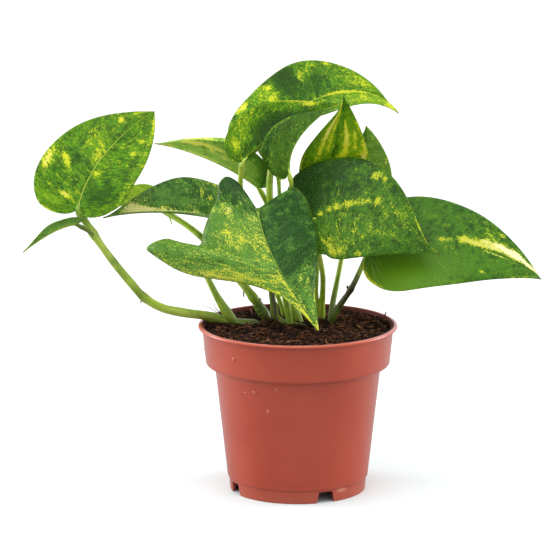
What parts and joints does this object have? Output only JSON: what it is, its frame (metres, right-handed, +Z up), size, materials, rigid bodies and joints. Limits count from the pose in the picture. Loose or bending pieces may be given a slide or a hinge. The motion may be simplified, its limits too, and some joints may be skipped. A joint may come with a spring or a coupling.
{
  "type": "potted pothos plant",
  "caption": "Potted pothos plant: mottled heart-shaped leaves on arching petioles, a creeping stem, dark soil and a tapered terracotta-coloured plastic nursery pot.",
  "frame": {"origin": "under the middle of the whole plant's bounding box, on the plane that the pot's foot ring stands on", "axes": "+Z up along the pot's axis, +X to the right and along the plant's longest spread, +Y to the back, away from the picture's viewer"},
  "size_m": [0.3088, 0.1362, 0.2508],
  "materials": {
    "pot": "terracotta-coloured moulded plastic, satin, with a few water drops",
    "soil": "damp dark peat with bark chips and brown fibres",
    "stems": "smooth yellow-green, with darker nodes and thin brown sheaths",
    "leaves_dark": "waxy dark green with yellow streaks and pale veins",
    "leaves_mottled": "waxy mid green, heavily mottled with yellow and cream",
    "leaves_pale": "pale matt green undersides of folded leaves, with a glossy darker upper side"
  },
  "bodies": {
    "root": {"pot": "pot", "soil": "soil", "stem_left": "stems", "petiole_left_behind": "stems", "petiole_front": "stems", "petiole_top_front": "stems", "petiole_back_left": "stems", "petiole_top": "stems", "petiole_back_small": "stems", "petiole_centre_fold": "stems", "stem_centre_right": "stems", "stem_right": "stems", "leaf_left_high": "leaves_mottled", "leaf_left_folded": "leaves_pale", "leaf_left_middle": "leaves_dark", "leaf_left_behind": "leaves_mottled", "leaf_front": "leaves_mottled", "leaf_back_left": "leaves_pale", "leaf_top": "leaves_mottled", "leaf_top_front": "leaves_mottled", "leaf_centre_fold": "leaves_dark", "leaf_upper_right": "leaves_mottled", "leaf_back_small": "leaves_mottled", "leaf_right_behind": "leaves_mottled", "leaf_right_centre": "leaves_dark", "leaf_right_low": "leaves_dark"}
  },
  "joints": []
}
